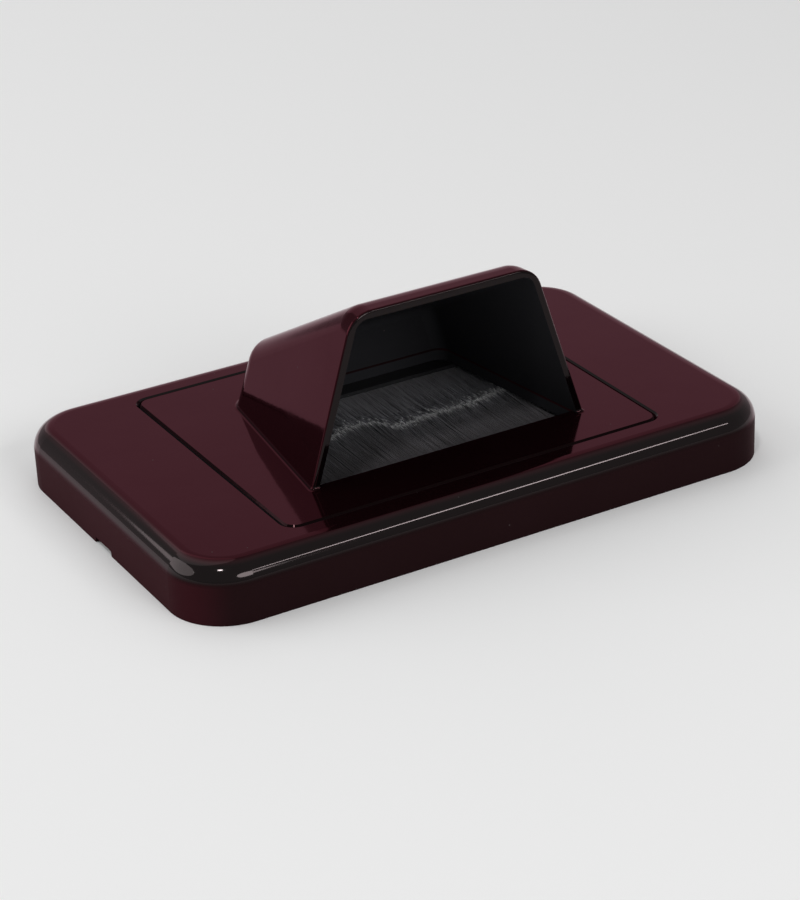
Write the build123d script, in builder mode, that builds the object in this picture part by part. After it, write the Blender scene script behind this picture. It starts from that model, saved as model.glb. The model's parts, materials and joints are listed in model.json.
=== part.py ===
"""Brush wall plate: a clip-over surround on a hooded plate, with strip brushes clamped behind its opening.

Sizes are in millimetres. X runs along the plate, Y across it towards the back of the hood, and Z out of the
wall, which is the plane z = 0. The standard screw centres set the sizes along X: the panel's skirt stands
inside the screw heads and the surround covers them.
"""

import os
from math import cos, pi, radians, sin, sqrt, tan

from build123d import *

# Wall screw slots, on standard centres
screw_centres = 84.0
screw_to_end = 17.0
screw_to_panel = 4.3
slot_width = 4.2
slot_length = 6.2
slot_rim = 2.2
slot_rim_height = 1.2

# Surround: the outer cover
plate_width = 75.0
plate_height = 11.0
plate_corner_radius = 10.8
plate_edge_radius = 4.0
surround_wall = 2.0
band_width = 7.3
seam_gap = 0.4
seam_chamfer = 0.3
ceiling_chamfer = 1.2
lip_wall = 1.2
lip_drop = 2.0
notch_width = 6.5
notch_height = 1.0

# Middle panel and flange of the hooded plate
panel_corner_radius = 2.4
panel_thickness = 2.4
skirt_wall = 2.0
flange_thickness = 2.2
flange_end_clearance = 8.0
flange_side_clearance = 2.0
flange_corner_radius = 6.0
gusset_spacing = 34.0
gusset_wall = 1.2
gusset_run = 6.0
gusset_rise = 4.0

# Spring tongues on the flange and catches on the surround
catch_spacing = 52.0
catch_length = 10.0
catch_depth = 1.1
catch_height = 1.2
catch_lift = 2.0
catch_clearance = 0.2
tongue_wall = 1.4
barb_clearance = 0.4
barb_height = 1.6

# Hood
mouth_offset = 20.3
strip_inset = 1.6
hood_depth = 40.7
hood_rear_height = 10.95
side_lean = 17.4
side_taper = 7.1
roof_fall = 28.5
rear_lean = 5.0
brow_depth = 3.8
hood_wall = 1.4
shoulder_radius = 5.5
brow_radius = 6.0
hood_edge_radius = 5.0
hollow_edge_radius = 2.6
rim_radius = 0.5
foot_radius = 0.7
sill_width = 1.4
sill_round = 0.3

# Clamp frame and its screws
clamp_clearance = 2.1
clamp_thickness = 1.8
clamp_margin = 1.2
clamp_relief = 0.8
clamp_hold = 3.2
clamp_corner_radius = 3.0
boss_radius = 2.6
boss_clearance = 0.8
pilot_radius = 1.0
pilot_runout = 0.4
shank_clearance = 0.05
shank_reach = 4.2
clamp_hole_clearance = 0.25
screw_head_radius = 2.0
screw_head_height = 1.3
recess_width = 0.6
recess_length = 2.2
recess_depth = 0.6

# Strip brushes
channel_depth = 6.0
channel_height = 3.2
channel_wall = 0.7
channel_round = 0.5
channel_cover = 2.3
wire_radius = 0.45
tip_thickness = 1.3
tip_gap = 0.35
tip_offset = 1.4
tip_wave = 1.5
tuft_pitch = 2.4
tuft_depth = 0.9

# Room for picking edges and faces by their place
pick_margin = 0.05

# Lengths along X, from the screw centres inwards
plate_length = screw_centres + 2 * screw_to_end
panel_length = screw_centres - 2 * screw_to_panel
clamp_length = panel_length - 2 * skirt_wall - 2 * clamp_clearance
clamp_screw_x = clamp_length / 2 - clamp_margin - boss_radius
channel_length = 2 * (clamp_screw_x - boss_radius - boss_clearance)
mouth_foot_width = channel_length + 2 * strip_inset
flange_length = plate_length - 2 * surround_wall - 2 * flange_end_clearance

# Widths along Y
panel_width = plate_width - 2 * band_width
flange_width = plate_width - 2 * surround_wall - 2 * flange_side_clearance
catch_face = plate_width / 2 - surround_wall
opening_front = -mouth_offset + sill_width
rear_foot = hood_depth - mouth_offset
opening_rear = rear_foot - hood_wall / cos(radians(rear_lean))
brush_y = (opening_front + opening_rear) / 2
channel_back = (opening_rear - opening_front) / 2 + channel_cover
channel_lip = channel_back - channel_depth
clamp_screw_y = channel_back - channel_depth / 2

# Heights along Z
ceiling = plate_height - surround_wall
panel_under = plate_height - panel_thickness
clamp_top = panel_under - channel_height
clamp_under = clamp_top - clamp_thickness
barb_under = catch_lift + catch_height + catch_clearance
bristle_root = channel_height - 2 * channel_wall
wire_z = clamp_top + channel_height / 2
wire_y = channel_back - channel_wall - bristle_root / 2

# Slopes and corners of the hood's outside and of its hollow, in the YZ plane
lean = tan(radians(side_lean))
taper = tan(radians(side_taper))
fall = tan(radians(roof_fall))
rear = tan(radians(rear_lean))
shoulder_z = plate_height + hood_rear_height
shoulder_y = rear_foot - rear * hood_rear_height
crest_z = shoulder_z + fall * (shoulder_y + mouth_offset)
brow_y = -mouth_offset + brow_depth
brow_z = crest_z - fall * brow_depth
side_inset = hood_wall * sqrt(1 + lean**2 + taper**2)
hollow_crest_z = crest_z - hood_wall / cos(radians(roof_fall))
hollow_brow_z = brow_z - hood_wall
hollow_brow_y = -mouth_offset + (hollow_crest_z - hollow_brow_z) / fall
hollow_drop = fall * (opening_rear + mouth_offset)
hollow_rear_height = (hollow_crest_z - hollow_drop - plate_height) / (1 - fall * rear)
hollow_shoulder_z = plate_height + hollow_rear_height
hollow_shoulder_y = opening_rear - rear * hollow_rear_height

os.makedirs("parts", exist_ok=True)


with BuildPart() as surround:
    with BuildSketch():
        RectangleRounded(plate_length, plate_width, plate_corner_radius)
    extrude(amount=plate_height)
    fillet(surround.edges().group_by(Axis.Z)[-1], plate_edge_radius)
    with BuildSketch():
        RectangleRounded(
            plate_length - 2 * surround_wall,
            plate_width - 2 * surround_wall,
            plate_corner_radius - surround_wall,
        )
    extrude(amount=ceiling, mode=Mode.SUBTRACT)
    chamfer(
        surround.edges().filter_by_position(Axis.Z, ceiling - pick_margin, ceiling + pick_margin),
        ceiling_chamfer,
    )
    with BuildSketch(Plane.XY.offset(ceiling - lip_drop)):
        RectangleRounded(
            panel_length + 2 * (seam_gap + lip_wall),
            panel_width + 2 * (seam_gap + lip_wall),
            panel_corner_radius + seam_gap + lip_wall,
        )
    extrude(amount=lip_drop)
    with BuildSketch():
        RectangleRounded(
            panel_length + 2 * seam_gap,
            panel_width + 2 * seam_gap,
            panel_corner_radius + seam_gap,
        )
    extrude(amount=plate_height, mode=Mode.SUBTRACT)
    top_band = surround.faces().sort_by(Axis.Z)[-1]
    chamfer(top_band.inner_wires()[0].edges(), seam_chamfer)
    # Pry notch in the short side
    with BuildSketch(Plane.YZ.offset(-plate_length / 2)):
        Rectangle(notch_width, 2 * notch_height)
    extrude(amount=surround_wall, mode=Mode.SUBTRACT)
    # Catches for the flange's tongues
    for side in (-1, 1):
        with BuildSketch(Plane.YZ.offset(-catch_spacing / 2), Plane.YZ.offset(catch_spacing / 2)):
            with BuildLine():
                Polyline(
                    (side * catch_face, catch_lift + catch_height),
                    (side * (catch_face - catch_depth), catch_lift + catch_height),
                    (side * (catch_face - catch_depth), catch_lift + catch_height / 2),
                    (side * catch_face, catch_lift - catch_height / 2),
                    close=True,
                )
            make_face()
        extrude(amount=catch_length / 2, both=True)
surround.part.label = "surround"
export_step(surround.part, "parts/surround.step")


with BuildPart() as hood_outside:
    with BuildSketch(Plane.YZ):
        with BuildLine():
            Polyline(
                (-mouth_offset, panel_under),
                (-mouth_offset, brow_z),
                (brow_y, brow_z),
                (shoulder_y, shoulder_z),
                (rear_foot + rear * panel_thickness, panel_under),
                close=True,
            )
        make_face()
    extrude(amount=panel_length / 2, both=True)
    for side in (-1, 1):
        flank = Plane(
            origin=(side * mouth_foot_width / 2, -mouth_offset, plate_height),
            z_dir=(side, taper, lean),
        )
        split(bisect_by=flank, keep=Keep.BOTTOM)
    for bend, bend_radius in (
        ((0, brow_y, brow_z), brow_radius),
        ((0, shoulder_y, shoulder_z), shoulder_radius),
    ):
        fillet(hood_outside.edges().filter_by(Axis.X).sort_by_distance(bend)[0], bend_radius)
    flanks = hood_outside.faces().sort_by(Axis.X)
    for flank_face in (flanks[0], flanks[-1]):
        ridge = [
            edge
            for edge in flank_face.edges()
            if edge.center().Z > panel_under + pick_margin and edge.center().Y > -mouth_offset + pick_margin
        ]
        fillet(ridge, hood_edge_radius)
    mouth = hood_outside.faces().sort_by(Axis.Y)[0]
    fillet(mouth.edges().sort_by(Axis.Z)[1:], rim_radius)


with BuildPart() as hood_hollow:
    with BuildSketch(Plane.YZ):
        with BuildLine():
            Polyline(
                (-mouth_offset - hood_wall, plate_height),
                (-mouth_offset - hood_wall, hollow_brow_z),
                (hollow_brow_y, hollow_brow_z),
                (hollow_shoulder_y, hollow_shoulder_z),
                (opening_rear, plate_height),
                close=True,
            )
        make_face()
    extrude(amount=panel_length / 2, both=True)
    for side in (-1, 1):
        flank = Plane(
            origin=(side * (mouth_foot_width / 2 - side_inset), -mouth_offset, plate_height),
            z_dir=(side, taper, lean),
        )
        split(bisect_by=flank, keep=Keep.BOTTOM)
    for bend, bend_radius in (
        ((0, hollow_brow_y, hollow_brow_z), brow_radius),
        ((0, hollow_shoulder_y, hollow_shoulder_z), shoulder_radius),
    ):
        fillet(hood_hollow.edges().filter_by(Axis.X).sort_by_distance(bend)[0], bend_radius - hood_wall)
    flanks = hood_hollow.faces().sort_by(Axis.X)
    for flank_face in (flanks[0], flanks[-1]):
        ridge = [
            edge
            for edge in flank_face.edges()
            if edge.center().Z > plate_height + pick_margin
            and edge.center().Y > -mouth_offset - hood_wall + pick_margin
        ]
        fillet(ridge, hollow_edge_radius)
    hollow_foot = hood_hollow.faces().sort_by(Axis.Z)[0]


# The brush opening follows the hollow's foot, behind the sill
with BuildPart() as opening:
    extrude(hollow_foot, amount=panel_thickness, dir=(0, 0, -1))
    split(bisect_by=Plane(origin=(0, opening_front, 0), z_dir=(0, 1, 0)), keep=Keep.TOP)


with BuildPart() as hood_plate:
    with BuildSketch():
        RectangleRounded(panel_length, panel_width, panel_corner_radius)
    extrude(amount=plate_height)
    chamfer(hood_plate.edges().group_by(Axis.Z)[-1], seam_chamfer)
    # Hood, rounded at its foot
    add(hood_outside.part)
    panel_top = hood_plate.faces().filter_by(Axis.Z).filter_by_position(
        Axis.Z, plate_height - pick_margin, plate_height + pick_margin
    )[0]
    fillet(panel_top.inner_wires()[0].edges(), foot_radius)
    # Flange with raised rims round the screw slots
    with BuildSketch():
        RectangleRounded(flange_length, flange_width, flange_corner_radius)
    extrude(amount=flange_thickness)
    with BuildSketch():
        with Locations((-screw_centres / 2, 0), (screw_centres / 2, 0)):
            SlotOverall(slot_length + 2 * slot_rim, slot_width + 2 * slot_rim)
    extrude(amount=flange_thickness + slot_rim_height)
    # Gussets between the flange and the skirt's short sides
    for side in (-1, 1):
        with BuildSketch(Plane.XZ.offset(-gusset_spacing / 2), Plane.XZ.offset(gusset_spacing / 2)):
            with BuildLine():
                Polyline(
                    (side * (panel_length / 2 - skirt_wall / 2), flange_thickness),
                    (side * (panel_length / 2 + gusset_run), flange_thickness),
                    (side * panel_length / 2, flange_thickness + gusset_rise),
                    (side * (panel_length / 2 - skirt_wall / 2), flange_thickness + gusset_rise),
                    close=True,
                )
            make_face()
        extrude(amount=gusset_wall / 2, both=True)
    # Hollows from the back and from the mouth, and the opening between them
    with BuildSketch():
        RectangleRounded(
            panel_length - 2 * skirt_wall,
            panel_width - 2 * skirt_wall,
            panel_corner_radius - skirt_wall,
        )
    extrude(amount=panel_under, mode=Mode.SUBTRACT)
    add(hood_hollow.part, mode=Mode.SUBTRACT)
    add(opening.part, mode=Mode.SUBTRACT)
    sill = (
        hood_plate.edges()
        .filter_by(Axis.X)
        .filter_by_position(Axis.Z, plate_height - pick_margin, plate_height + pick_margin)
        .filter_by_position(Axis.Y, opening_front - pick_margin, opening_front + pick_margin)
    )
    fillet(sill, sill_round)
    with BuildSketch():
        with Locations((-screw_centres / 2, 0), (screw_centres / 2, 0)):
            SlotOverall(slot_length, slot_width)
    extrude(amount=flange_thickness + slot_rim_height, mode=Mode.SUBTRACT)
    # Spring tongues
    for side in (-1, 1):
        with BuildSketch(Plane.YZ.offset(-catch_spacing / 2), Plane.YZ.offset(catch_spacing / 2)):
            with BuildLine():
                Polyline(
                    (side * (flange_width / 2 - tongue_wall), flange_thickness / 2),
                    (side * flange_width / 2, flange_thickness / 2),
                    (side * flange_width / 2, barb_under),
                    (side * (catch_face - barb_clearance), barb_under),
                    (side * flange_width / 2, barb_under + barb_height),
                    (side * (flange_width / 2 - tongue_wall), barb_under + barb_height),
                    close=True,
                )
            make_face()
        extrude(amount=catch_length / 2, both=True)
    # Clamp bosses under the panel
    with BuildSketch(Plane.XY.offset(clamp_top)):
        with Locations((0, brush_y)):
            with GridLocations(2 * clamp_screw_x, 2 * clamp_screw_y, 2, 2):
                Circle(boss_radius)
    extrude(amount=channel_height)
    with BuildSketch(Plane.XY.offset(clamp_top)):
        with Locations((0, brush_y)):
            with GridLocations(2 * clamp_screw_x, 2 * clamp_screw_y, 2, 2):
                Circle(pilot_radius)
    extrude(amount=shank_reach - clamp_thickness + pilot_runout, mode=Mode.SUBTRACT)
hood_plate.part.label = "hood_plate"
export_step(hood_plate.part, "parts/hood_plate.step")


# Ragged line where the two rows of tufts meet
tufts = round(channel_length / tuft_pitch)
meeting = []
for step in range(2 * tufts + 1):
    x = channel_length * (step / (2 * tufts) - 0.5)
    wave = tip_offset - tip_wave * sin(3 * pi * x / channel_length)
    meeting.append((x, brush_y + wave + tuft_depth * (step % 2 - 0.5)))

for row, side in {"front": -1, "rear": 1}.items():
    with BuildPart() as channel:
        with BuildSketch(Plane.YZ):
            with Locations((brush_y + side * (channel_back - channel_depth / 2), wire_z)):
                Rectangle(channel_depth, channel_height)
            with Locations((brush_y + side * (channel_lip + (channel_depth - channel_wall) / 2), wire_z)):
                Rectangle(channel_depth - channel_wall, bristle_root, mode=Mode.SUBTRACT)
        extrude(amount=channel_length / 2, both=True)
        back_face = channel.faces().sort_by(Axis.Y)[0 if side < 0 else -1]
        fillet(back_face.edges().filter_by(Axis.X), channel_round)
    channel.part.label = f"{row}_brush_channel"
    export_step(channel.part, f"parts/{row}_brush_channel.step")

    with BuildPart() as core_wire:
        with BuildSketch(Plane.YZ):
            with Locations((brush_y + side * wire_y, wire_z)):
                Circle(wire_radius)
        extrude(amount=channel_length / 2, both=True)
    core_wire.part.label = f"{row}_core_wire"
    export_step(core_wire.part, f"parts/{row}_core_wire.step")

    # Filaments doubled over the wire, thinning to their tips
    with BuildPart() as bristles:
        tip_y = brush_y + tip_offset - side * (tip_wave + tuft_depth)
        with BuildSketch(Plane.YZ):
            with BuildLine():
                Polyline(
                    (brush_y + side * wire_y, wire_z + bristle_root / 2),
                    (brush_y + side * channel_lip, wire_z + bristle_root / 2),
                    (tip_y, wire_z + tip_thickness / 2),
                    (tip_y, wire_z - tip_thickness / 2),
                    (brush_y + side * channel_lip, wire_z - bristle_root / 2),
                    (brush_y + side * wire_y, wire_z - bristle_root / 2),
                )
                ThreePointArc(
                    (brush_y + side * wire_y, wire_z - bristle_root / 2),
                    (brush_y + side * (wire_y + bristle_root / 2), wire_z),
                    (brush_y + side * wire_y, wire_z + bristle_root / 2),
                )
            make_face()
            with Locations((brush_y + side * wire_y, wire_z)):
                Circle(wire_radius, mode=Mode.SUBTRACT)
        extrude(amount=channel_length / 2, both=True)
        with BuildSketch(Plane.XY.offset(clamp_top)):
            with BuildLine():
                Polyline(
                    *[(x, y + side * tip_gap / 2) for x, y in meeting],
                    (channel_length / 2, brush_y + side * channel_back),
                    (-channel_length / 2, brush_y + side * channel_back),
                    close=True,
                )
            make_face()
        extrude(amount=channel_height, mode=Mode.INTERSECT)
    bristles.part.label = f"{row}_bristles"
    export_step(bristles.part, f"parts/{row}_bristles.step")


with BuildPart() as brush_clamp:
    with BuildSketch(Plane.XY.offset(clamp_under)):
        with Locations((0, brush_y)):
            RectangleRounded(clamp_length, 2 * (channel_back + clamp_margin), clamp_corner_radius)
            Rectangle(
                channel_length - 2 * clamp_hold,
                2 * (channel_lip + clamp_relief),
                mode=Mode.SUBTRACT,
            )
            with GridLocations(2 * clamp_screw_x, 2 * clamp_screw_y, 2, 2):
                Circle(pilot_radius + clamp_hole_clearance, mode=Mode.SUBTRACT)
    extrude(amount=clamp_thickness)
brush_clamp.part.label = "brush_clamp"
export_step(brush_clamp.part, "parts/brush_clamp.step")


with BuildPart() as clamp_screws:
    with BuildSketch(Plane.XY.offset(clamp_under - screw_head_height)):
        with Locations((0, brush_y)):
            with GridLocations(2 * clamp_screw_x, 2 * clamp_screw_y, 2, 2):
                Circle(screw_head_radius)
    extrude(amount=screw_head_height)
    with BuildSketch(Plane.XY.offset(clamp_under)):
        with Locations((0, brush_y)):
            with GridLocations(2 * clamp_screw_x, 2 * clamp_screw_y, 2, 2):
                Circle(pilot_radius - shank_clearance)
    extrude(amount=shank_reach)
    with BuildSketch(Plane.XY.offset(clamp_under - screw_head_height)):
        with Locations((0, brush_y)):
            with GridLocations(2 * clamp_screw_x, 2 * clamp_screw_y, 2, 2):
                Rectangle(recess_length, recess_width)
                Rectangle(recess_width, recess_length)
    extrude(amount=recess_depth, mode=Mode.SUBTRACT)
clamp_screws.part.label = "clamp_screws"
export_step(clamp_screws.part, "parts/clamp_screws.step")
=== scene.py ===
"""Looks of the brush wall plate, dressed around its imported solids.

The mouldings, channels, wires and clamp keep their solids and get their finishes here. The two rows of
bristles and the clamp screws are rebuilt as real filaments and threaded screws. Lengths are in metres, in
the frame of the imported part: X along the plate, Y towards the back of the hood, Z up.
"""

import json
import logging
import math
from dataclasses import dataclass
from enum import Enum

import bpy
from mathutils import Matrix, Vector

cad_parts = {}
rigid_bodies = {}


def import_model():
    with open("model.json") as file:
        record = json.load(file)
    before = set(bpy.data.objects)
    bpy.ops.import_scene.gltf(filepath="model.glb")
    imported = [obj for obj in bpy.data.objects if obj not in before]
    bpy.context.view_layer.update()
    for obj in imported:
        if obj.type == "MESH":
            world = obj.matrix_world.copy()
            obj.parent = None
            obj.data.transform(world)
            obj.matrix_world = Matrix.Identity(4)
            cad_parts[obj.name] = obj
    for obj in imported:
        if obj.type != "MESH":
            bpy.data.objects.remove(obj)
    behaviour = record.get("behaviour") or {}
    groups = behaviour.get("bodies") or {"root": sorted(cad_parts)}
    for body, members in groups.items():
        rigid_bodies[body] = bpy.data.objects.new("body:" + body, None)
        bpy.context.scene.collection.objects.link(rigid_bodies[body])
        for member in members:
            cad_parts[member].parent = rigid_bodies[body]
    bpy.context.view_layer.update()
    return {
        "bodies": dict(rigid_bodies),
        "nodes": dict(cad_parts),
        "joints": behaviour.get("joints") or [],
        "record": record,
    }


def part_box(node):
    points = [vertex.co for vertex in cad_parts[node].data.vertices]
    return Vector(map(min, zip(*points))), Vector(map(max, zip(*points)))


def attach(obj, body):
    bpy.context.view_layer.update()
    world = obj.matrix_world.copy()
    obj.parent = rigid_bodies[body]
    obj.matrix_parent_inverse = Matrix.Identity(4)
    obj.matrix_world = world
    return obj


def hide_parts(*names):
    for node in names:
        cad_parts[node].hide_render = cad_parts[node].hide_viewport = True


MM = 0.001
BODY = "root"

Colour = tuple[float, float, float]
Socket = bpy.types.NodeSocket
Outputs = bpy.types.NodeOutputs
log = logging.getLogger("brush_wall_plate")


class Row(Enum):
    """The two strip brushes, named by the side of the opening that holds them."""

    FRONT = "front"
    REAR = "rear"

    @property
    def reach(self) -> float:
        """Which way along Y the filaments point."""
        return 1.0 if self is Row.FRONT else -1.0


class Slot(Enum):
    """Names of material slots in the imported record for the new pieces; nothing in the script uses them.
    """

    BRISTLE = "bristle"
    SCREW = "screw"


class Sheet:
    """A node tree under construction, with short calls that add and link its nodes."""

    # Numbers of sockets whose names a node repeats for each type of data
    MIX_COLOURS = (0, 6, 7)
    MIXED_COLOUR = 2
    RANDOM_FLOATS = (2, 3, 8)
    RANDOM_FLOAT = 1

    def __init__(self, tree: bpy.types.NodeTree) -> None:
        """Keeps the shader or geometry node tree to work on."""
        self.tree = tree

    def add(
        self, kind: str, sources: dict[str | int, object] | None = None, **settings: object
    ) -> bpy.types.Node:
        """Adds a node and feeds its inputs.

        Args:
            kind: The node's type name.
            sources: Output sockets or plain values, by the input's name or number.
            settings: Values for the node's own properties.

        Returns:
            The new node.
        """
        node = self.tree.nodes.new(kind)
        for name, value in settings.items():
            setattr(node, name, value)
        self.fill(node.inputs, sources or {})
        return node

    def fill(self, inputs: bpy.types.NodeInputs, sources: dict[str | int, object]) -> None:
        """Feeds several inputs, by name or number."""
        for key, source in sources.items():
            self.feed(inputs[key], source)

    def feed(self, socket: Socket, source: object) -> None:
        """Links an input to another node's output, or sets it to a plain value.

        Args:
            socket: The input.
            source: An output socket or a value.
        """
        if isinstance(source, bpy.types.NodeSocket):
            self.tree.links.new(source, socket)
        else:
            socket.default_value = source

    def math(self, operation: str, *sources: object) -> Socket:
        """Adds a Math node and gives its output."""
        return self.add("ShaderNodeMath", dict(enumerate(sources)), operation=operation).outputs[0]

    def ease(
        self, value: object, low: object, high: object, to_low: object = 0.0, to_high: object = 1.0
    ) -> Socket:
        """Maps a range smoothly onto another, held at its ends.

        Args:
            value: What is mapped.
            low: Start of the range.
            high: End of the range.
            to_low: Result at the start.
            to_high: Result at the end.

        Returns:
            The mapped value.
        """
        sources = dict(enumerate((value, low, high, to_low, to_high)))
        return self.add("ShaderNodeMapRange", sources, interpolation_type="SMOOTHSTEP").outputs[0]

    def fade(self, value: object, low: object, high: object) -> Socket:
        """Falls smoothly from 1 to 0 over a range."""
        return self.ease(value, low, high, 1.0, 0.0)

    def noise(self, position: object, scale: object, detail: float) -> Socket:
        """Adds a noise texture with a scale in cells per metre and gives its value, from 0 to 1."""
        sources = {"Vector": position, "Scale": scale, "Detail": detail}
        return self.add("ShaderNodeTexNoise", sources).outputs[0]

    def random(self, low: object, high: object, seed: object) -> Socket:
        """Draws a random value for each point."""
        sources = dict(zip(self.RANDOM_FLOATS, (low, high, seed)))
        return self.add("FunctionNodeRandomValue", sources, data_type="FLOAT").outputs[self.RANDOM_FLOAT]

    def tint(self, share: Socket, first: object, second: object) -> Socket:
        """Mixes two colours.

        Args:
            share: How much of the second shows.
            first: The first colour.
            second: The second colour.

        Returns:
            The mixed colour.
        """
        ends = [(*end, 1.0) if isinstance(end, tuple) else end for end in (first, second)]
        sources = dict(zip(self.MIX_COLOURS, (share, *ends)))
        return self.add("ShaderNodeMix", sources, data_type="RGBA").outputs[self.MIXED_COLOUR]

    def curve(self, value: Socket, points: list[tuple[float, float]], handles: str = "VECTOR") -> Socket:
        """Maps a value through a line drawn between given points.

        Args:
            value: What is mapped, from 0 to 1.
            points: The points, from left to right, each from 0 to 1.
            handles: VECTOR for straight pieces, AUTO for a smooth line.

        Returns:
            The mapped value.
        """
        node = self.add("ShaderNodeFloatCurve", {"Value": value})
        line = node.mapping.curves[0]
        for number, point in enumerate(points):
            if number < len(line.points):
                line.points[number].location = point
            else:
                line.points.new(*point)
        for handle in line.points:
            handle.handle_type = handles
        node.mapping.update()
        return node.outputs[0]

    def split(self, vector: Socket) -> Outputs:
        """Gives a vector's X, Y and Z."""
        return self.add("ShaderNodeSeparateXYZ", {0: vector}).outputs

    def join(self, x: object, y: object, z: object) -> Socket:
        """Gives a vector from its X, Y and Z."""
        return self.add("ShaderNodeCombineXYZ", {0: x, 1: y, 2: z}).outputs[0]

    def relief(self, height: Socket, depth: float) -> Socket:
        """Gives the normal of a surface that a height shapes to a depth."""
        return self.add("ShaderNodeBump", {"Distance": depth, "Height": height}).outputs[0]


def new_group(name: str, kind: str, inputs: dict[str, str], outputs: dict[str, str]) -> Sheet:
    """Makes an empty node group with named sockets.

    Args:
        name: The group's name.
        kind: ShaderNodeTree or GeometryNodeTree.
        inputs: Socket type by input name.
        outputs: Socket type by output name.

    Returns:
        The sheet to build the group on.
    """
    tree = bpy.data.node_groups.new(name, kind)
    for way, sockets in (("INPUT", inputs), ("OUTPUT", outputs)):
        for label, socket_type in sockets.items():
            tree.interface.new_socket(label, in_out=way, socket_type=f"NodeSocket{socket_type}")
    return Sheet(tree)


def new_material(name: str) -> tuple[bpy.types.Material, Sheet, bpy.types.NodeInputs]:
    """Makes a material with a Principled shader.

    Args:
        name: The material's name.

    Returns:
        The material, its sheet and the shader's inputs.
    """
    material = bpy.data.materials.new(name)
    material.use_nodes = True
    shader = next(node for node in material.node_tree.nodes if node.type == "BSDF_PRINCIPLED")
    return material, Sheet(material.node_tree), shader.inputs


@dataclass(frozen=True)
class HandlingMarks:
    """What moulding and handling leave on a surface, as a group that the finishes share."""

    smudge_from: float = 0.36
    smudge_full: float = 0.68
    smudge_detail: float = 4.0
    speck_core: float = 0.06
    speck_edge: float = 0.16
    skin_detail: float = 2.0

    def tree(self) -> bpy.types.NodeTree:
        """Builds the group.

        Returns:
            A group that puts out a smudge mask, a dust mask and the height of the moulded skin.
        """
        scales = dict.fromkeys(("Smudge Scale", "Dust Scale", "Dust Amount", "Skin Scale"), "Float")
        masks = dict.fromkeys(("Smudge", "Dust", "Skin"), "Float")
        sheet = new_group("handling_marks", "ShaderNodeTree", {"Position": "Vector", **scales}, masks)
        given = sheet.add("NodeGroupInput").outputs
        place = given["Position"]
        cloud = sheet.noise(place, given["Smudge Scale"], self.smudge_detail)
        grain = sheet.add("ShaderNodeTexVoronoi", {"Vector": place, "Scale": given["Dust Scale"]}).outputs
        lot = sheet.add("ShaderNodeSeparateColor", {0: grain["Color"]}).outputs[0]
        chosen = sheet.math("LESS_THAN", lot, given["Dust Amount"])
        speck = sheet.fade(grain["Distance"], self.speck_core, self.speck_edge)
        marks = {
            "Smudge": sheet.ease(cloud, self.smudge_from, self.smudge_full),
            "Dust": sheet.math("MULTIPLY", chosen, speck),
            "Skin": sheet.noise(place, given["Skin Scale"], self.skin_detail),
        }
        sheet.add("NodeGroupOutput", marks)
        return sheet.tree


@dataclass(frozen=True)
class MouldedPlastic:
    """A moulded plastic with smudges, a few specks of dust and the faint skin of its mould."""

    name: str
    clean: Colour
    smudged: Colour
    dust: Colour
    clean_roughness: float
    smudged_roughness: float
    specular: float
    skin_scale: float
    skin_depth: float
    dust_amount: float
    smudge_scale: float = 46.0
    dust_scale: float = 900.0
    dust_roughness: float = 0.6

    def material(self, marks: bpy.types.NodeTree) -> bpy.types.Material:
        """Builds the material.

        Args:
            marks: The shared group of handling marks.

        Returns:
            The material.
        """
        material, sheet, shader = new_material(self.name)
        sources = {
            "Position": sheet.add("ShaderNodeTexCoord").outputs["Object"],
            "Smudge Scale": self.smudge_scale,
            "Dust Scale": self.dust_scale,
            "Dust Amount": self.dust_amount,
            "Skin Scale": self.skin_scale,
        }
        seen = sheet.add("ShaderNodeGroup", sources, node_tree=marks).outputs
        look = self._skin(sheet, seen)
        speck = sheet.math("MULTIPLY", seen["Dust"], self.dust_roughness)
        look["Base Color"] = sheet.tint(seen["Dust"], look["Base Color"], self.dust)
        look["Roughness"] = sheet.math("MAXIMUM", look["Roughness"], speck)
        look["Normal"] = sheet.relief(seen["Skin"], self.skin_depth)
        look["Specular IOR Level"] = self.specular
        sheet.fill(shader, look)
        return material

    def _skin(self, sheet: Sheet, seen: Outputs) -> dict[str, object]:
        """Gives the plastic's own look, before any dust.

        Args:
            sheet: The material's nodes.
            seen: The handling marks.

        Returns:
            Sources by the shader's input name.
        """
        smudge = seen["Smudge"]
        return {
            "Base Color": sheet.tint(smudge, self.clean, self.smudged),
            "Roughness": sheet.ease(smudge, 0.0, 1.0, self.clean_roughness, self.smudged_roughness),
        }


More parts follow.
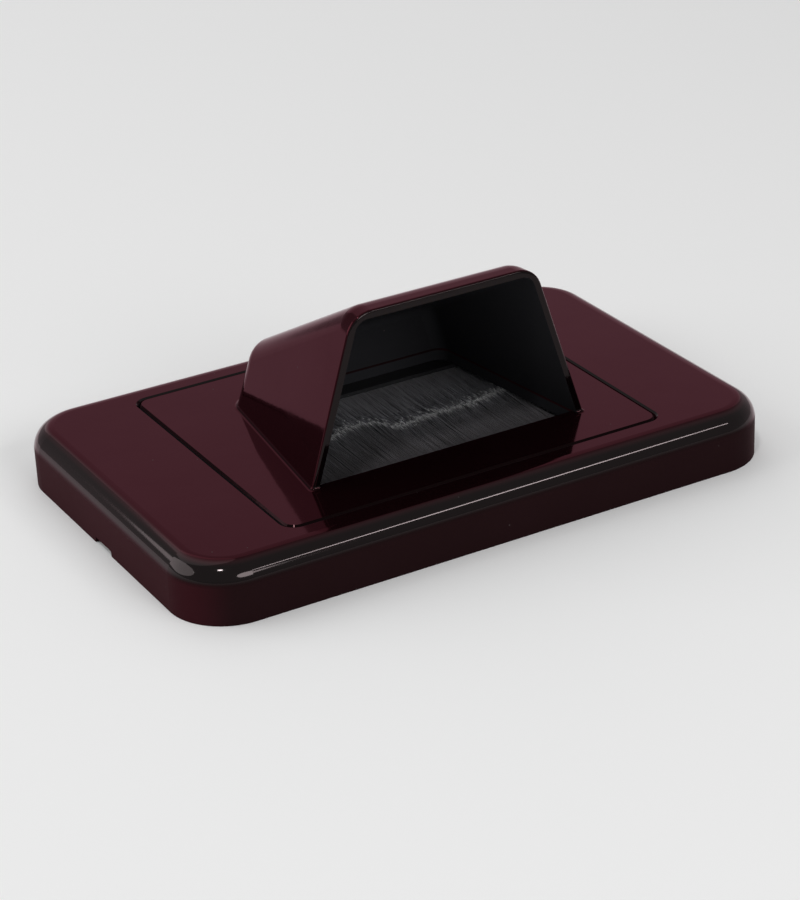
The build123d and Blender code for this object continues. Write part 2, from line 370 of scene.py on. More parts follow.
@dataclass(frozen=True)
class GlossFilm(MouldedPlastic):
    """A bright tinted film on a black moulding, with painted shade on walls, round edges and rim and a dark
    colour inside the hood.
    """

    film_metallic: float = 0.88
    wall_metallic: float = 0.10
    film_tint: Colour = (0.82, 0.63, 0.67)
    moulding: Colour = (0.0046, 0.0050, 0.0047)
    # Painted shade: the plain dark colour given to the inside of the hood and to faces turned down
    painted_inside_shade: Colour = (0.0260, 0.0260, 0.0290)
    inside_roughness: float = 0.32
    wall_roughness: float = 0.48
    # Painted shade: how much of the dark moulding colour the front and back walls, end walls, round edges
    # and mouth's rim take
    wall_painted_shade: float = 0.68
    end_wall_painted_shade: float = 0.10
    edge_painted_shade: float = 0.80
    rim_painted_shade: float = 0.85
    rim_gloss: float = 0.32
    edge_gloss: float = 0.62
    edge_gloss_ior: float = 1.42
    edge_gloss_roughness: float = 0.07
    face_height: float = 11.0 * MM
    panel_half_length: float = 37.9 * MM
    panel_half_width: float = 30.3 * MM

    # Where one zone passes into the next: by height over the plate's face
    HOOD_FOOT = (0.1 * MM, 0.5 * MM)
    WELL_TOP = (-0.5 * MM, -0.3 * MM)
    SEAM_BLEND = 0.1 * MM
    # and by how far the surface faces up, to the back or sideways
    TURNED_IN = (-0.10, -0.02)
    RIM_TURN = (-0.80, -0.55)
    END_WALL_TURN = (0.30, 0.95)
    WALL_TURN = (0.02, 0.25)
    EDGE_TURN = (0.80, 0.96)
    GLOSS_START = (0.10, 0.35)
    GLOSS_END = (0.90, 0.985)

    def _skin(self, sheet: Sheet, seen: Outputs) -> dict[str, object]:
        """Gives the film's look, with painted shade in the moulding's colour on walls, edges and rim, and
        inside the hood.

        Args:
            sheet: The material's nodes.
            seen: The handling marks.

        Returns:
            Sources by the shader's input name.
        """
        film = super()._skin(sheet, seen)
        spot = sheet.add("ShaderNodeTexCoord").outputs
        x, y, z = sheet.split(spot["Object"])
        facing_x, facing_y, up = sheet.split(spot["Normal"])
        on_plate = sheet.fade(z, *(self.face_height + over for over in self.HOOD_FOOT))
        off_plate = sheet.math("SUBTRACT", 1.0, on_plate)

        # The panel inside the seam, and painted shade: a plain dark colour on the inside of the hood and
        # brush opening and on faces turned down, where the hood's shade falls
        across, along = (
            sheet.fade(sheet.math("ABSOLUTE", axis), half - self.SEAM_BLEND, half)
            for axis, half in ((y, self.panel_half_width), (x, self.panel_half_length))
        )
        panel = sheet.math("MULTIPLY", across, along)
        under = sheet.fade(z, *(self.face_height + over for over in self.WELL_TOP))
        turned_in = sheet.fade(up, *self.TURNED_IN)
        inside = sheet.math("MAXIMUM", turned_in, sheet.math("MULTIPLY", panel, under))

        # Painted shade: the dark moulding colour mixed into the mouth's rim, the walls and the rounded
        # edges, more on the front and back walls than on the end walls
        rim = sheet.math("MULTIPLY", sheet.fade(facing_y, *self.RIM_TURN), off_plate)
        sideways = sheet.math("ABSOLUTE", facing_x)
        upright = sheet.ease(sideways, *self.END_WALL_TURN, self.wall_painted_shade, self.end_wall_painted_shade)
        shoulder = sheet.ease(up, *self.WALL_TURN, upright, self.edge_painted_shade)
        edge = sheet.math("MULTIPLY", shoulder, sheet.fade(up, *self.EDGE_TURN))
        painted_shade = sheet.math("MULTIPLY", edge, on_plate)
        painted_shade = sheet.math("MAXIMUM", painted_shade, sheet.math("MULTIPLY", rim, self.rim_painted_shade))
        colour = sheet.tint(painted_shade, film["Base Color"], self.moulding)

        # Satin walls and inside
        wall = sheet.math("MULTIPLY", sheet.fade(up, *self.WALL_TURN), on_plate)
        satin = sheet.math("MULTIPLY", wall, self.wall_roughness)
        satin = sheet.math("MAXIMUM", satin, sheet.math("MULTIPLY", inside, self.inside_roughness))
        shine = sheet.ease(wall, 0.0, 1.0, self.film_metallic, self.wall_metallic)

        # Clear gloss on the surround's rounded edge and the mouth's rim
        bend = sheet.ease(up, *self.GLOSS_START, 0.0, self.edge_gloss)
        bend = sheet.math("MULTIPLY", bend, sheet.fade(up, *self.GLOSS_END))
        frame = sheet.math("MULTIPLY", sheet.math("SUBTRACT", 1.0, panel), on_plate)
        clear = sheet.math("MULTIPLY", bend, frame)
        clear = sheet.math("MAXIMUM", clear, sheet.math("MULTIPLY", rim, self.rim_gloss))
        return {
            "Base Color": sheet.tint(inside, colour, self.painted_inside_shade),
            "Roughness": sheet.math("MAXIMUM", film["Roughness"], satin),
            "Metallic": sheet.math("MULTIPLY", shine, sheet.math("SUBTRACT", 1.0, inside)),
            "Specular Tint": (*self.film_tint, 1.0),
            "Coat Weight": clear,
            "Coat IOR": self.edge_gloss_ior,
            "Coat Roughness": self.edge_gloss_roughness,
        }


@dataclass(frozen=True)
class NylonFilament:
    """Black nylon bristle: each filament has its own shade, made lighter towards a pale cut tip by painted
    light.
    """

    name: str = "black_nylon"
    dark: Colour = (0.102, 0.093, 0.097)
    light: Colour = (0.440, 0.446, 0.490)
    tip: Colour = (0.800, 0.800, 0.805)
    tip_start: float = 0.93
    tip_painted_light: float = 0.32
    tip_painted_light_power: float = 3.0
    roughness: float = 0.38
    tip_roughness: float = 0.6

    def material(self) -> bpy.types.Material:
        """Builds the material, which reads the filaments' own attributes.

        Returns:
            The material.
        """
        material, sheet, shader = new_material(self.name)
        tone, along = (
            sheet.add("ShaderNodeAttribute", attribute_name=name).outputs["Fac"]
            for name in (StripBrush.TONE, StripBrush.ALONG)
        )
        cut = sheet.ease(along, self.tip_start, 1.0)
        # Painted light: each filament grows lighter towards its tip, standing in for the shade that falls
        # nearer its roots
        tip_light_share = sheet.math("POWER", along, self.tip_painted_light_power)
        shade = sheet.tint(sheet.math("MULTIPLY_ADD", tip_light_share, self.tip_painted_light, tone), self.dark, self.light)
        look = {
            "Base Color": sheet.tint(cut, shade, self.tip),
            "Roughness": sheet.ease(cut, 0.0, 1.0, self.roughness, self.tip_roughness),
        }
        sheet.fill(shader, look)
        return material


@dataclass(frozen=True)
class DrawnSteel:
    """Bright steel with fine lines along the way it was drawn, and dull patches in its plating."""

    name: str
    bright: Colour
    dull: Colour
    line_scale: Colour
    roughness: float = 0.28
    dull_roughness: float = 0.45
    patches: float = 1.0
    lines: float = 3.0
    line_depth: float = 0.02 * MM

    def material(self, marks: bpy.types.NodeTree) -> bpy.types.Material:
        """Builds the material.

        Args:
            marks: The shared group of handling marks.

        Returns:
            The material.
        """
        material, sheet, shader = new_material(self.name)
        spot = sheet.add("ShaderNodeTexCoord").outputs["Object"]
        stretched = sheet.add("ShaderNodeMapping", {"Vector": spot, "Scale": self.line_scale}).outputs[0]
        sources = {"Position": stretched, "Smudge Scale": self.patches, "Skin Scale": self.lines}
        seen = sheet.add("ShaderNodeGroup", sources, node_tree=marks).outputs
        look = {
            "Base Color": sheet.tint(seen["Smudge"], self.bright, self.dull),
            "Roughness": sheet.ease(seen["Smudge"], 0.0, 1.0, self.roughness, self.dull_roughness),
            "Normal": sheet.relief(seen["Skin"], self.line_depth),
            "Metallic": 1.0,
        }
        sheet.fill(shader, look)
        return material


GLOSS_BODY = GlossFilm(
    name="gloss_maroon_film",
    clean=(0.0350, 0.0075, 0.0105),
    smudged=(0.0380, 0.0088, 0.0122),
    dust=(0.075, 0.060, 0.060),
    clean_roughness=0.06,
    smudged_roughness=0.10,
    specular=0.012,
    skin_scale=260.0,
    skin_depth=0.01 * MM,
    dust_amount=0.012,
)
MATT_CHANNEL = MouldedPlastic(
    name="matt_black_channel",
    clean=(0.007, 0.007, 0.008),
    smudged=(0.010, 0.010, 0.011),
    dust=(0.12, 0.12, 0.12),
    clean_roughness=0.42,
    smudged_roughness=0.55,
    specular=0.4,
    skin_scale=2200.0,
    skin_depth=0.03 * MM,
    dust_amount=0.06,
)
SATIN_CLAMP = MouldedPlastic(
    name="satin_black_clamp",
    clean=(0.014, 0.013, 0.014),
    smudged=(0.020, 0.018, 0.019),
    dust=(0.10, 0.10, 0.10),
    clean_roughness=0.35,
    smudged_roughness=0.5,
    specular=0.4,
    skin_scale=1500.0,
    skin_depth=0.05 * MM,
    dust_amount=0.04,
)
CORE_WIRE = DrawnSteel(
    name="drawn_steel_wire",
    bright=(0.56, 0.56, 0.57),
    dull=(0.40, 0.40, 0.42),
    line_scale=(40.0, 2600.0, 2600.0),
)
ZINC_SCREW = DrawnSteel(
    name="zinc_plated_steel",
    bright=(0.62, 0.62, 0.60),
    dull=(0.45, 0.45, 0.46),
    line_scale=(700.0, 700.0, 90.0),
)


def set_inputs(modifier: bpy.types.NodesModifier, values: dict[str, object]) -> None:
    """Sets a Geometry Nodes modifier's inputs.

    Args:
        modifier: The modifier, with its node group in place.
        values: Value by the input's name.
    """
    for item in modifier.node_group.interface.items_tree:
        if item.item_type == "SOCKET" and item.in_out == "INPUT" and item.name in values:
            modifier[item.identifier] = values[item.name]


def grow(name: str, tree: bpy.types.NodeTree, values: dict[str, object]) -> bpy.types.Object:
    """Runs a Geometry Nodes tree and keeps its result as a plain mesh.

    Args:
        name: The new piece's name.
        tree: The tree to run.
        values: The tree's inputs by name.

    Returns:
        The piece, at the origin, with no modifier.
    """
    piece = bpy.data.objects.new(name, bpy.data.meshes.new(f"{name}_seed"))
    bpy.context.scene.collection.objects.link(piece)
    modifier = piece.modifiers.new(name, "NODES")
    modifier.node_group = tree
    set_inputs(modifier, values)
    depsgraph = bpy.context.evaluated_depsgraph_get()
    mesh = bpy.data.meshes.new_from_object(
        piece.evaluated_get(depsgraph), preserve_all_data_layers=True, depsgraph=depsgraph
    )
    piece.modifiers.remove(modifier)
    piece.data = mesh
    mesh.name = name
    return piece


def finish_tree(sheet: Sheet, geometry: Socket, finish: Socket) -> None:
    """Ends a Geometry Nodes tree: realized and with its material.

    Args:
        sheet: The tree under construction.
        geometry: What it made.
        finish: The material.
    """
    whole = sheet.add("GeometryNodeRealizeInstances", {0: geometry})
    painted = sheet.add("GeometryNodeSetMaterial", {"Geometry": whole.outputs[0], "Material": finish})
    sheet.add("NodeGroupOutput", {"Geometry": painted.outputs[0]})


@dataclass
class StripBrush:
    """The filaments of one strip brush, doubled over its core wire and reaching across the opening."""

    row: Row
    across: int = 620
    layers: int = 7
    steps: int = 6
    filament_radius: float = 0.075 * MM
    overlap: float = 0.7 * MM
    ragged: float = 1.6 * MM
    stray: float = 0.35 * MM
    clump: float = 0.38 * MM
    lift: float = 0.45 * MM
    curl: float = 0.5 * MM
    # Random shade range of the filaments; the rear row's higher range is painted light
    tones_and_painted_light: tuple[float, float] = (0.0, 0.12)
    seed: int = 3

    TONE = "tone"
    ALONG = "along"
    SIDES = 3
    # Shares of a pitch, of the spread at the root, of the radius and of the free length
    JITTER = 0.6
    TIP_SPREAD = 0.75
    TIP_RADIUS = 0.7
    TAPER_START = 0.6
    FAN_START = 0.1
    WIRE_END = 0.15
    # Powers that keep most filaments long, nearly straight and flat, and bend the rest near the tip
    CUT_POWER = 2.5
    BOW_POWER = 1.4
    RISE_POWER = 2.0
    FLICK_POWER = 6.0
    # The noise that draws neighbours together in tufts
    TUFT_SCALE = 330.0
    TUFT_DETAIL = 1.5
    TUFT_LAYER = 2.0 * MM
    TUFT_SEED = 0.1
    TIP_LOW = -4.0 * MM
    TIP_HIGH = 4.0 * MM
    # The ragged line where the tips end: share of the strip's length, and Y in millimetres
    TIP_LINE = (
        (0.0, 1.0),
        (0.28, 1.5),
        (0.36, 2.8),
        (0.44, 2.5),
        (0.49, -1.6),
        (0.54, -2.0),
        (0.60, -1.0),
        (0.78, -0.9),
        (0.90, 0.2),
        (1.0, 1.6),
    )

    @classmethod
    def tree(cls) -> bpy.types.NodeTree:
        """Builds the tree that grows a row of filaments.

        Returns:
            The tree, with named inputs for its sizes.
        """
        inputs = {
            "Geometry": "Geometry",
            "Across": "Int",
            "Layers": "Int",
            "Steps": "Int",
            "Strip Length": "Float",
            "Wire Y": "Float",
            "Wire Z": "Float",
            "Wire Radius": "Float",
            "Root Spread": "Float",
            "Tip Spread": "Float",
            "Reach": "Float",
            "Overlap": "Float",
            "Ragged": "Float",
            "Stray": "Float",
            "Clump": "Float",
            "Lift": "Float",
            "Curl": "Float",
            "Filament Radius": "Float",
            "Tone Low": "Float",
            "Tone High": "Float",
            "Seed": "Int",
            "Finish": "Material",
        }
        sheet = new_group("strip_brush", "GeometryNodeTree", inputs, {"Geometry": "Geometry"})
        given = sheet.add("NodeGroupInput").outputs
        held = cls._roots(sheet, given)
        line = sheet.add("GeometryNodeCurvePrimitiveLine").outputs[0]
        strand = sheet.add("GeometryNodeResampleCurve", {"Curve": line, "Count": given["Steps"]})
        seats = {"Points": held["Geometry"], "Instance": strand.outputs[0]}
        copies = sheet.add("GeometryNodeInstanceOnPoints", seats)
        strands = sheet.add("GeometryNodeRealizeInstances", {0: copies.outputs[0]})

        # A filament's first point lies behind the wire, and its free length starts with the second
        index = sheet.add("GeometryNodeSplineParameter").outputs["Index"]
        run = sheet.math("SUBTRACT", given["Steps"], 2.0)
        along = sheet.math("MAXIMUM", sheet.math("DIVIDE", sheet.math("SUBTRACT", index, 1.0), run), 0.0)
        behind = sheet.math("LESS_THAN", index, 0.5)
        path = cls._path(sheet, given, held, along, behind)
        bent = sheet.add("GeometryNodeSetPosition", {"Geometry": strands.outputs[0], "Position": path})
        toned = cls._keep(sheet, bent.outputs[0], cls.TONE, held["Tone"])
        marked = cls._keep(sheet, toned, cls.ALONG, along)

        thinned = sheet.ease(along, cls.TAPER_START, 1.0, 1.0, cls.TIP_RADIUS)
        taper = sheet.add("GeometryNodeSetCurveRadius", {"Curve": marked, "Radius": thinned})
        outline = {"Resolution": cls.SIDES, "Radius": given["Filament Radius"]}
        section = sheet.add("GeometryNodeCurvePrimitiveCircle", outline)
        sweep = {"Curve": taper.outputs[0], "Profile Curve": section.outputs[0], "Fill Caps": True}
        skin = sheet.add("GeometryNodeCurveToMesh", sweep)
        smooth = sheet.add("GeometryNodeSetShadeSmooth", {"Geometry": skin.outputs[0]})
        finish_tree(sheet, smooth.outputs[0], given["Finish"])
        return sheet.tree

    @classmethod
    def _roots(cls, sheet: Sheet, given: Outputs) -> Outputs:
        """Sets out one point for each filament and draws its random values.

        Args:
            sheet: The tree under construction.
            given: The tree's inputs.

        Returns:
            The points and each one's values.
        """
        # Two units wide, so that the layers run from -1 to 1
        sizes = {"Size X": given["Strip Length"], "Size Y": 2.0}
        counts = {"Vertices X": given["Across"], "Vertices Y": given["Layers"]}
        grid = sheet.add("GeometryNodeMeshGrid", {**sizes, **counts})
        points = sheet.add("GeometryNodeMeshToPoints", {"Mesh": grid.outputs[0]})
        x, layer, _ = sheet.split(sheet.add("GeometryNodeInputPosition").outputs[0])
        pitch = sheet.math("DIVIDE", given["Strip Length"], given["Across"])
        jitter = sheet.math("MULTIPLY", sheet.random(-cls.JITTER, cls.JITTER, given["Seed"]), pitch)
        values = {"Root": sheet.math("ADD", x, jitter), "Layer": layer}
        draws = {
            "Short": (0.0, 1.0),
            "Sideways": (-1.0, 1.0),
            "Upturn": (0.0, 1.0),
            "Tone": (given["Tone Low"], given["Tone High"]),
        }
        for number, (name, ends) in enumerate(draws.items(), start=1):
            values[name] = sheet.random(*ends, sheet.math("ADD", given["Seed"], float(number)))
        held = sheet.add("GeometryNodeCaptureAttribute", {"Geometry": points.outputs[0]})
        for name, source in values.items():
            held.capture_items.new("FLOAT", name)
            sheet.feed(held.inputs[name], source)
        return held.outputs

    @classmethod
    def _tip_line(cls, sheet: Sheet, share: Socket) -> Socket:
        """Gives the Y of the line where the tips end.

        Args:
            sheet: The tree under construction.
            share: How far along the strip, from 0 to 1.

        Returns:
            The Y, in metres.
        """
        span = cls.TIP_HIGH - cls.TIP_LOW
        points = [(where, (height * MM - cls.TIP_LOW) / span) for where, height in cls.TIP_LINE]
        return sheet.math("MULTIPLY_ADD", sheet.curve(share, points, "AUTO"), span, cls.TIP_LOW)

    @classmethod
    def _path(cls, sheet: Sheet, given: Outputs, held: Outputs, along: Socket, behind: Socket) -> Socket:
        """Gives the place of each point of a filament.

        Args:
            sheet: The tree under construction.
            given: The tree's inputs.
            held: Each filament's own values.
            along: How far along the free length, from 0 at the wire to 1 at the tip.
            behind: 1 for the first point, which lies behind the wire.

        Returns:
            The place.
        """
        share = sheet.math("ADD", sheet.math("DIVIDE", held["Root"], given["Strip Length"]), 0.5)
        gap = sheet.math("SUBTRACT", cls._tip_line(sheet, share), given["Wire Y"])
        cut = sheet.math("MULTIPLY", sheet.math("POWER", held["Short"], cls.CUT_POWER), given["Ragged"])
        past = sheet.math("SUBTRACT", given["Overlap"], cut)
        free = sheet.math("MULTIPLY_ADD", gap, given["Reach"], past)
        wrap = sheet.math("ADD", given["Wire Radius"], given["Filament Radius"])
        back = sheet.math("MULTIPLY", behind, wrap)
        forward = sheet.math("SUBTRACT", sheet.math("MULTIPLY", free, along), back)
        y = sheet.math("MULTIPLY_ADD", forward, given["Reach"], given["Wire Y"])

        depth = sheet.math("MULTIPLY", held["Layer"], cls.TUFT_LAYER)
        seat = sheet.join(held["Root"], depth, sheet.math("MULTIPLY", given["Seed"], cls.TUFT_SEED))
        swirl = sheet.math("SUBTRACT", sheet.noise(seat, cls.TUFT_SCALE, cls.TUFT_DETAIL), 0.5)
        tuft = sheet.math("MULTIPLY", swirl, given["Clump"])
        aside = sheet.math("MULTIPLY_ADD", held["Sideways"], given["Stray"], tuft)
        x = sheet.math("MULTIPLY_ADD", aside, sheet.math("POWER", along, cls.BOW_POWER), held["Root"])

        fan = sheet.ease(along, cls.FAN_START, 1.0, given["Root Spread"], given["Tip Spread"])
        spread = sheet.math("MULTIPLY", held["Layer"], fan)
        rise = sheet.math("MULTIPLY", sheet.math("POWER", along, cls.RISE_POWER), given["Lift"])
        upturn = sheet.math("MULTIPLY", sheet.math("POWER", held["Upturn"], cls.FLICK_POWER), given["Curl"])
        flick = sheet.math("MULTIPLY", sheet.math("POWER", along, cls.FLICK_POWER), upturn)
        level = sheet.math("ADD", sheet.math("ADD", spread, rise), flick)
        outer = sheet.math("MULTIPLY", sheet.math("SIGN", held["Layer"]), wrap)
        at_wire = sheet.fade(along, 0.0, cls.WIRE_END)
        climb = sheet.math("MULTIPLY", sheet.math("SUBTRACT", outer, level), at_wire)
        ahead = sheet.math("SUBTRACT", 1.0, behind)
        off_wire = sheet.math("MULTIPLY", sheet.math("ADD", level, climb), ahead)
        return sheet.join(x, y, sheet.math("ADD", given["Wire Z"], off_wire))

    @staticmethod
    def _keep(sheet: Sheet, geometry: Socket, name: str, value: Socket) -> Socket:
        """Stores a value on the filaments for their finish.

        Args:
            sheet: The tree under construction.
            geometry: The filaments.
            name: The attribute's name.
            value: What is stored.

        Returns:
            The filaments with the attribute.
        """
        sources = {"Geometry": geometry, "Name": name, "Value": value}
        settings = {"data_type": "FLOAT", "domain": "POINT"}
        return sheet.add("GeometryNodeStoreNamedAttribute", sources, **settings).outputs[0]

    def build(self, tree: bpy.types.NodeTree, finish: bpy.types.Material) -> bpy.types.Object:
        """Grows the row between its channel's lips and the line where the tips meet.

        Args:
            tree: The tree that grows a row.
            finish: The filaments' material.

        Returns:
            The row.
        """
        node = f"{self.row.value}_bristles"
        low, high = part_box(f"{self.row.value}_core_wire")
        solid_low, solid_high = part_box(node)
        root_spread = (solid_high.z - solid_low.z) / 2 - self.filament_radius
        values = {
            "Across": self.across,
            "Layers": self.layers,
            "Steps": self.steps,
            "Strip Length": high.x - low.x - 2 * self.filament_radius,
            "Wire Y": (low.y + high.y) / 2,
            "Wire Z": (low.z + high.z) / 2,
            "Wire Radius": (high.z - low.z) / 2,
            "Root Spread": root_spread,
            "Tip Spread": self.TIP_SPREAD * root_spread,
            "Reach": self.row.reach,
            "Overlap": self.overlap,
            "Ragged": self.ragged,
            "Stray": self.stray,
            "Clump": self.clump,
            "Lift": self.lift,
            "Curl": self.curl,
            "Filament Radius": self.filament_radius,
            "Tone Low": self.tones_and_painted_light[0],
            "Tone High": self.tones_and_painted_light[1],
            "Seed": self.seed,
            "Finish": finish,
        }
        piece = grow(f"{self.row.value}_filaments", tree, values)
        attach(piece, BODY)
        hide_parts(node)
        return piece


@dataclass
class ClampScrews:
    """The four pan-head screws that hold the clamp, each with a cross recess and a rolled thread."""

    head_radius: float = 2.0 * MM
    recess_width: float = 0.55 * MM
    recess_length: float = 2.3 * MM
    recess_depth: float = 0.7 * MM
    thread_depth: float = 0.22 * MM
    thread_turns: float = 6.0
    thread_start: float = 1.6 * MM
    thread_end: float = 4.9 * MM
    sides: int = 28
    seed: int = 5

    NODE = "clamp_screws"
    THREAD_FADE = 0.3 * MM
    WELD = 0.002 * MM
    RINGS = 61
    # From the head's middle to the shank's point: ring, share of the head's radius, share of the length
    PROFILE = (
        (0, 0.0, 0.0),
        (1, 0.62, 0.0),
        (2, 0.80, 0.025),
        (3, 0.93, 0.075),
        (4, 1.0, 0.14),
        (5, 1.0, 0.236),
        (6, 0.36, 0.236),
        (57, 0.36, 0.90),
        (59, 0.16, 1.0),
        (60, 0.0, 1.0),
    )

    @classmethod
    def tree(cls) -> bpy.types.NodeTree:
        """Builds the tree that sets one turned screw on each corner of a rectangle.

        Returns:
            The tree, with named inputs for its sizes.
        """
        inputs = {
            "Geometry": "Geometry",
            "Spacing X": "Float",
            "Spacing Y": "Float",
            "Centre": "Vector",
            "Length": "Float",
            "Head Radius": "Float",
            "Sides": "Int",
            "Thread Depth": "Float",
            "Thread Pitch": "Float",
            "Thread Start": "Float",
            "Thread End": "Float",
            "Recess": "Vector",
            "Seed": "Int",
            "Finish": "Material",
        }
        sheet = new_group("clamp_screw", "GeometryNodeTree", inputs, {"Geometry": "Geometry"})
        given = sheet.add("NodeGroupInput").outputs
        sizes = {"Size X": given["Spacing X"], "Size Y": given["Spacing Y"]}
        corners = sheet.add("GeometryNodeMeshGrid", {**sizes, "Vertices X": 2, "Vertices Y": 2})
        shift = {"Geometry": corners.outputs[0], "Offset": given["Centre"]}
        seats = {
            "Points": sheet.add("GeometryNodeSetPosition", shift).outputs[0],
            "Instance": cls._recessed(sheet, given, cls._turned(sheet, given)),
            "Rotation": sheet.join(0.0, 0.0, sheet.random(0.0, math.tau, given["Seed"])),
        }
        placed = sheet.add("GeometryNodeInstanceOnPoints", seats)
        finish_tree(sheet, placed.outputs[0], given["Finish"])
        return sheet.tree

    @classmethod
    def _turned(cls, sheet: Sheet, given: Outputs) -> Socket:
        """Turns a grid into one screw, with its head's face at the origin.

        Args:
            sheet: The tree under construction.
            given: The tree's inputs.

        Returns:
            The screw's closed skin.
        """
        counts = {"Vertices X": sheet.math("ADD", given["Sides"], 1.0), "Vertices Y": cls.RINGS}
        grid = sheet.add("GeometryNodeMeshGrid", {"Size X": 1.0, "Size Y": 1.0, **counts})
        grid_x, grid_y, _ = sheet.split(sheet.add("GeometryNodeInputPosition").outputs[0])
        round_share = sheet.math("ADD", grid_x, 0.5)
        ring_share = sheet.math("ADD", grid_y, 0.5)
        last = cls.RINGS - 1
        radius_curve = [(ring / last, radius) for ring, radius, _ in cls.PROFILE]
        height_curve = [(ring / last, height) for ring, _, height in cls.PROFILE]
        smooth_radius = sheet.math("MULTIPLY", sheet.curve(ring_share, radius_curve), given["Head Radius"])
        z = sheet.math("MULTIPLY", sheet.curve(ring_share, height_curve), given["Length"])

        # The wave rises to a half, which the run-in doubles
        lead = sheet.math("SUBTRACT", sheet.math("DIVIDE", z, given["Thread Pitch"]), round_share)
        crest = sheet.math("PINGPONG", lead, 0.5)
        full = sheet.math("ADD", given["Thread Start"], cls.THREAD_FADE)
        run_in = sheet.ease(z, given["Thread Start"], full, 0.0, 2.0)
        fades = sheet.math("SUBTRACT", given["Thread End"], cls.THREAD_FADE)
        run_out = sheet.fade(z, fades, given["Thread End"])
        thread = sheet.math("MULTIPLY", sheet.math("MULTIPLY", run_in, run_out), given["Thread Depth"])
        radius = sheet.math("MULTIPLY_ADD", crest, thread, smooth_radius)

        angle = sheet.math("MULTIPLY", round_share, math.tau)
        x, y = (sheet.math("MULTIPLY", radius, sheet.math(part, angle)) for part in ("COSINE", "SINE"))
        moved = {"Geometry": grid.outputs[0], "Position": sheet.join(x, y, z)}
        turned = sheet.add("GeometryNodeSetPosition", moved)
        seam = {"Geometry": turned.outputs[0], "Distance": cls.WELD}
        return sheet.add("GeometryNodeMergeByDistance", seam).outputs[0]

    @staticmethod
    def _recessed(sheet: Sheet, given: Outputs, screw: Socket) -> Socket:
        """Cuts the cross recess into the head.

        Args:
            sheet: The tree under construction.
            given: The tree's inputs.
            screw: The turned screw.

        Returns:
            The screw with its recess.
        """
        width, length, depth = sheet.split(given["Recess"])
        cut = sheet.add("GeometryNodeMeshBoolean", operation="DIFFERENCE", solver="EXACT")
        sheet.feed(cut.inputs["Mesh 1"], screw)
        for sides in ((length, width), (width, length)):
            # Half of each bar lies outside the head
            extent = sheet.join(*sides, sheet.math("MULTIPLY", depth, 2.0))
            bar = sheet.add("GeometryNodeMeshCube", {"Size": extent})
            sheet.feed(cut.inputs["Mesh 2"], bar.outputs[0])
        return cut.outputs[0]

    def build(self, tree: bpy.types.NodeTree, finish: bpy.types.Material) -> bpy.types.Object:
        """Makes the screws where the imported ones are.

        Args:
            tree: The tree that makes them.
            finish: Their material.

        Returns:
            The screws.
        """
        low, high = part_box(self.NODE)
        values = {
            "Spacing X": high.x - low.x - 2 * self.head_radius,
            "Spacing Y": high.y - low.y - 2 * self.head_radius,
            "Centre": ((low.x + high.x) / 2, (low.y + high.y) / 2, low.z),
            "Length": high.z - low.z,
            "Head Radius": self.head_radius,
            "Sides": self.sides,
            "Thread Depth": self.thread_depth,
            "Thread Pitch": (self.thread_end - self.thread_start) / self.thread_turns,
            "Thread Start": self.thread_start,
            "Thread End": self.thread_end,
            "Recess": (self.recess_width, self.recess_length, self.recess_depth),
            "Seed": self.seed,
            "Finish": finish,
        }
        piece = grow("pan_head_screws", tree, values)
        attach(piece, BODY)
        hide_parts(self.NODE)
        return piece


@dataclass(frozen=True)
class PhotoCamera:
    """The photograph's viewpoint, solved from the plate's edges."""

    azimuth: float = -29.061
    elevation: float = 26.240
    roll: float = -2.481
    focal_px: float = 2727.3
    place_mm: tuple[float, float, float] = (-217.35, -392.86, 223.99)

    LONG_SIDE_PX = 900.0
    SENSOR_MM = 36.0
    CLIP_START = 0.01

    def build(self) -> bpy.types.Object:
        """Makes the camera and gives it to the scene.

        Returns:
            The camera.
        """
        turn = math.radians(self.azimuth)
        climb = math.radians(self.elevation)
        back = Vector(
            (math.sin(turn) * math.cos(climb), -math.cos(turn) * math.cos(climb), math.sin(climb))
        )
        right = Vector((math.cos(turn), math.sin(turn), 0.0))
        upright = Matrix((right, back.cross(right), back)).transposed()
        tilt = Matrix.Rotation(math.radians(self.roll), 3, "Z")
        data = bpy.data.cameras.new("photo_camera")
        data.sensor_width = self.SENSOR_MM
        data.lens = self.SENSOR_MM * self.focal_px / self.LONG_SIDE_PX
        data.clip_start = self.CLIP_START
        camera = bpy.data.objects.new("photo_camera", data)
        camera.matrix_world = Matrix.Translation(Vector(self.place_mm) * MM) @ (upright @ tilt).to_4x4()
        bpy.context.scene.collection.objects.link(camera)
        bpy.context.scene.camera = camera
        return camera


@dataclass(frozen=True)
class Softbox:
    """A plain white oval lamp aimed at the plate."""

    name: str
    direction: tuple[float, float, float]
    distance: float
    width: float
    height: float
    radiance: float

    AIM = (0.0, 0.0, 0.015)

    def build(self) -> bpy.types.Object:
        """Makes the lamp.

        Returns:
            The lamp.
        """
        data = bpy.data.lights.new(self.name, "AREA")
        data.shape = "ELLIPSE"
        data.size = self.width
        data.size_y = self.height
        data.energy = self.radiance * math.pi * self.width * self.height
        lamp = bpy.data.objects.new(self.name, data)
        toward = Vector(self.direction).normalized()
        lamp.location = Vector(self.AIM) + toward * self.distance
        lamp.rotation_euler = toward.to_track_quat("Z", "Y").to_euler()
        bpy.context.scene.collection.objects.link(lamp)
        return lamp


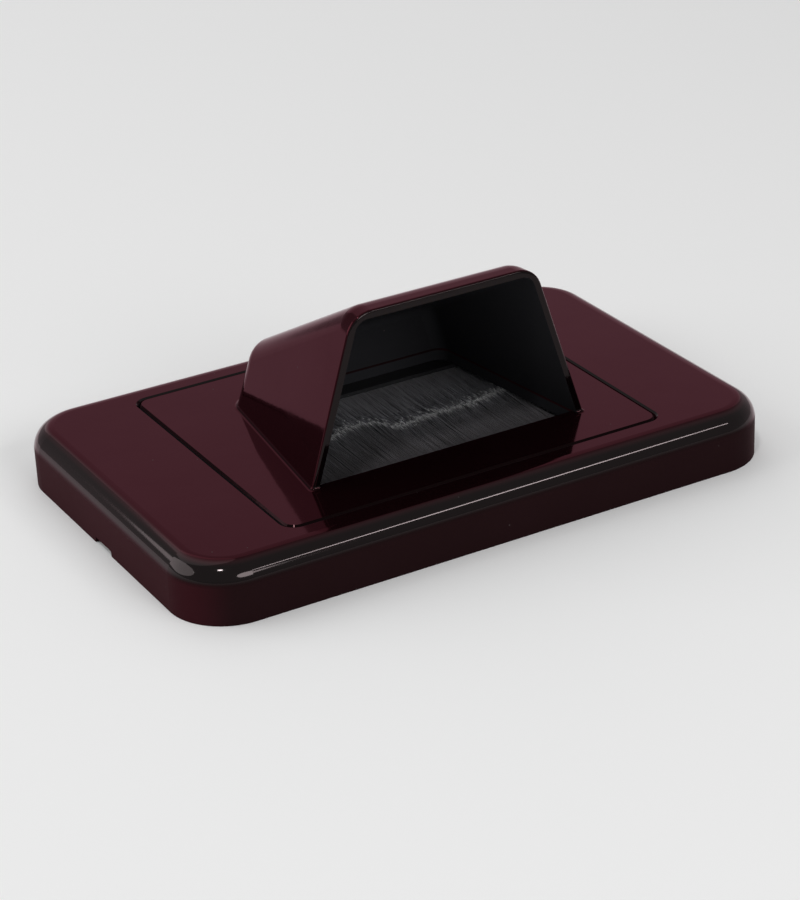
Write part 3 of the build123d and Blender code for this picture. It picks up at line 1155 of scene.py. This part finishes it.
@dataclass(frozen=True)
class Studio:
    """A plain pale floor under soft white light."""

    floor_colour: Colour = (0.90, 0.90, 0.90)
    floor_roughness: float = 0.9
    floor_specular: float = 0.1
    floor_half: float = 1.6
    floor_drop: float = 0.05 * MM
    sky: float = 0.36
    # Name, direction from the plate, distance, width, height, radiance
    lamps: tuple[Softbox, ...] = (
        Softbox("rear_panel", (0.39, 0.80, 0.45), 1.00, 1.10, 1.10, 0.34),
        Softbox("rear_key", (-0.16, 0.50, 0.85), 0.95, 0.85, 0.85, 0.40),
        Softbox("left_soft", (-0.80, 0.42, 0.40), 0.95, 1.00, 0.70, 1.5),
        Softbox("front_soft", (0.10, -0.89, 0.44), 1.00, 0.50, 0.34, 5.2),
        Softbox("front_strip", (0.46, -0.68, 0.57), 1.10, 0.36, 0.045, 17.0),
        Softbox("ceiling_spot", (-0.35, -0.35, 0.87), 1.00, 0.10, 0.10, 42.0),
    )

    def build(self) -> None:
        """Makes the floor, the lamps and the even light around them."""
        half = self.floor_half
        mesh = bpy.data.meshes.new("floor")
        corners = [(-half, -half), (half, -half), (half, half), (-half, half)]
        mesh.from_pydata([(x, y, -self.floor_drop) for x, y in corners], [], [(0, 1, 2, 3)])
        floor = bpy.data.objects.new("floor", mesh)
        bpy.context.scene.collection.objects.link(floor)
        material, sheet, shader = new_material("pale_floor")
        look = {
            "Base Color": (*self.floor_colour, 1.0),
            "Roughness": self.floor_roughness,
            "Specular IOR Level": self.floor_specular,
        }
        sheet.fill(shader, look)
        mesh.materials.append(material)
        for lamp in self.lamps:
            lamp.build()
        world = bpy.data.worlds.new("studio")
        world.use_nodes = True
        background = world.node_tree.nodes["Background"].inputs
        background["Color"].default_value = (1.0, 1.0, 1.0, 1.0)
        background["Strength"].default_value = self.sky
        bpy.context.scene.world = world


def dress(nodes: dict[str, bpy.types.Object], name: str, material: bpy.types.Material) -> None:
    """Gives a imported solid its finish.

    Args:
        nodes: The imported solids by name.
        name: The solid's name.
        material: Its finish.
    """
    for place in nodes[name].material_slots:
        place.material = material
    log.info("%s: %s", name, material.name)


def main() -> None:
    """Builds the pieces in order and reports each one."""
    logging.basicConfig(level=logging.INFO, format="%(name)s: %(message)s")
    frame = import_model()
    bpy.context.scene.view_settings.view_transform = "Standard"
    nodes = frame["nodes"]
    marks = HandlingMarks().tree()
    body = GLOSS_BODY.material(marks)
    channel = MATT_CHANNEL.material(marks)
    wire = CORE_WIRE.material(marks)
    for name in ("surround", "hood_plate"):
        dress(nodes, name, body)
    for row in Row:
        dress(nodes, f"{row.value}_brush_channel", channel)
        dress(nodes, f"{row.value}_core_wire", wire)
    dress(nodes, "brush_clamp", SATIN_CLAMP.material(marks))
    screws = ClampScrews().build(ClampScrews.tree(), ZINC_SCREW.material(marks))
    log.info("%s: %d faces", screws.name, len(screws.data.polygons))

    tree = StripBrush.tree()
    nylon = NylonFilament().material()
    brushes = (
        StripBrush(Row.FRONT),
        StripBrush(
            Row.REAR,
            overlap=-0.3 * MM,
            ragged=2.2 * MM,
            lift=-0.30 * MM,
            curl=1.6 * MM,
            # Painted light: the rear row's higher tones make it lighter, for the light that the hood keeps
            # off it
            tones_and_painted_light=(0.10, 0.36),
            seed=11,
        ),
    )
    for brush in brushes:
        piece = brush.build(tree, nylon)
        log.info("%s: %d faces", piece.name, len(piece.data.polygons))

    PhotoCamera().build()
    Studio().build()


if __name__ == "__main__":
    main()
